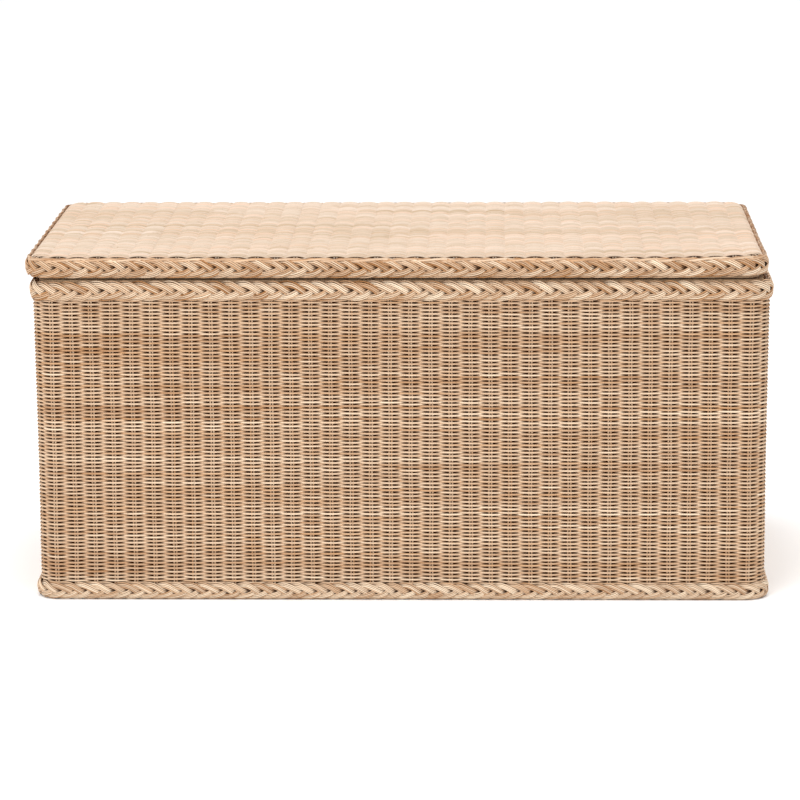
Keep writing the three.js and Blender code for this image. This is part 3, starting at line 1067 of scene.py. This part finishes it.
def in_shares(strands):
    """Splits a long list of strands so that no piece has too many triangles."""
    triangles = sum(2 * REED_SIDES * len(one["points"]) for one in strands)
    shares = math.ceil(triangles / PIECE_TRIANGLES)
    size = math.ceil(len(strands) / shares)
    return [strands[start : start + size] for start in range(0, len(strands), size)]


def place_piece(piece, body, node):
    """The piece moves with the body and stands for the CAD node, which is hidden."""
    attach(piece, body)
    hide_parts(node)


def place_weavers(name, strands, material, body, node):
    """Places many strands as a few numbered pieces."""
    for number, share in enumerate(in_shares(strands), start=1):
        place_piece(reed_piece(f"{name}_{number}", share, material), body, node)


def make_wall():
    loop, weavers, swayed, bottom, top = wall_strands()
    place_weavers("wall_weavers", weavers, wall_reed, "body", "body_weave")
    stakes = wall_stakes(loop, swayed, bottom, top)
    place_piece(reed_piece("wall_stakes", stakes, wall_reed), "body", "body_weave")


def make_lid():
    weavers, stakes = lid_strands()
    place_weavers("lid_weavers", weavers, lid_reed, "lid", "lid_weave")
    place_piece(reed_piece("lid_stakes", stakes, lid_reed), "lid", "lid_weave")


# Each border's node, body, number of strokes round the trunk, the side that its hinges are on (1
# for the top, 0 for none) and how pale it is. Then, in millimetres, how far its lower and upper
# edges curl in behind its face, how far it stays clear of the piece below, and the heights of the
# rods in its core, above its lower edge.
BORDERS = [
    {
        "name": "foot",
        "node": "foot_braid",
        "body": "body",
        "strokes": 160,
        "hinge_side": 0,
        "tone": 0.73,
        "curl": (5.0, 3.0),
        "clearance": 0.0,
        "rods": (5.6, 12.4, 19.2),
    },
    {
        "name": "rim",
        "node": "rim_braid",
        "body": "body",
        "strokes": 150,
        "hinge_side": 1,
        "tone": 0.67,
        "curl": (1.8, 5.0),
        "clearance": 0.0,
        "rods": (5.0, 11.5, 18.0, 24.3),
    },
    {
        "name": "lid",
        "node": "lid_braid",
        "body": "lid",
        "strokes": 150,
        "hinge_side": -1,
        "tone": 0.46,
        "curl": (2.6, 4.5),
        "clearance": 1.6,
        "rods": (5.6, 12.2, 18.8),
    },
]


def make_borders():
    for border in BORDERS:
        name, body, node = border["name"], border["body"], border["node"]
        place_weavers(f"{name}_plait", plait_strands(border), braid_reed, body, node)
        core = reed_piece(f"{name}_core", core_strands(border), braid_reed, ROD_SIDES)
        place_piece(core, body, node)
    rope = reed_piece("lid_edge_rope", edge_rope_strands(), braid_reed, ROD_SIDES)
    place_piece(rope, "lid", "lid_braid")


# ---- Studio ----

CAMERA_PLACE = (0.1476, -5.6753, 1.4052)
CAMERA_LENS = 169.1
CAMERA_TURN = 1.545  # degrees to the left
CAMERA_DIP = 11.534  # degrees below level
CAMERA_ROLL = -0.29
FLOOR_RADIUS = 30
FLOOR_SIDES = 64


def make_camera():
    """A long lens, far in front of the trunk and a little above it."""
    data = bpy.data.cameras.new("camera")
    data.sensor_width = 36
    data.lens = CAMERA_LENS
    camera = bpy.data.objects.new("camera", data)
    bpy.context.scene.collection.objects.link(camera)
    place = Matrix.Translation(CAMERA_PLACE)
    turn = Matrix.Rotation(math.radians(CAMERA_TURN), 4, "Z")
    tilt = Matrix.Rotation(math.radians(90 - CAMERA_DIP), 4, "X")
    roll = Matrix.Rotation(math.radians(CAMERA_ROLL), 4, "Z")
    camera.matrix_world = place @ turn @ tilt @ roll
    bpy.context.scene.camera = camera


def area_light(name, place, target, size, power):
    """A rectangular light at place that shines towards target."""
    data = bpy.data.lights.new(name, "AREA")
    data.shape = "RECTANGLE"
    data.size, data.size_y = size
    data.energy = power
    light = bpy.data.objects.new(name, data)
    light.location = place
    light.rotation_euler = (Vector(target) - Vector(place)).to_track_quat("-Z", "Y").to_euler()
    bpy.context.scene.collection.objects.link(light)


def make_lights():
    """A white room with one large light overhead and one in front."""
    world = bpy.data.worlds.new("studio")
    world.use_nodes = True
    background = world.node_tree.nodes["Background"]
    background.inputs["Color"].default_value = (1.0, 1.0, 1.0, 1)
    background.inputs["Strength"].default_value = 1.05
    bpy.context.scene.world = world
    area_light("overhead softbox", (0.0, -0.5, 3.4), (0.0, 0.0, 0.3), size=(2.6, 1.6), power=60)
    area_light("front softbox", (-1.5, -4.0, 2.6), (0.0, 0.0, 0.25), size=(2.0, 1.6), power=60)


def make_floor():
    mesh = bpy.data.meshes.new("floor")
    angles = [step * TURN / FLOOR_SIDES for step in range(FLOOR_SIDES)]
    rim = [(FLOOR_RADIUS * math.cos(a), FLOOR_RADIUS * math.sin(a), 0) for a in angles]
    mesh.from_pydata(rim, [], [list(range(FLOOR_SIDES))])
    floor = bpy.data.objects.new("floor", mesh)
    bpy.context.scene.collection.objects.link(floor)
    material = bpy.data.materials.new("pale floor")
    material.use_nodes = True
    shader = material.node_tree.nodes["Principled BSDF"]
    shader.inputs["Base Color"].default_value = (0.95, 0.95, 0.95, 1)
    shader.inputs["Roughness"].default_value = 0.9
    shader.inputs["Specular IOR Level"].default_value = 0.1
    mesh.materials.append(material)


make_camera()
make_lights()
make_floor()
bpy.context.scene.view_settings.view_transform = "Standard"
finish_nodes()
make_wall()
make_lid()
make_borders()
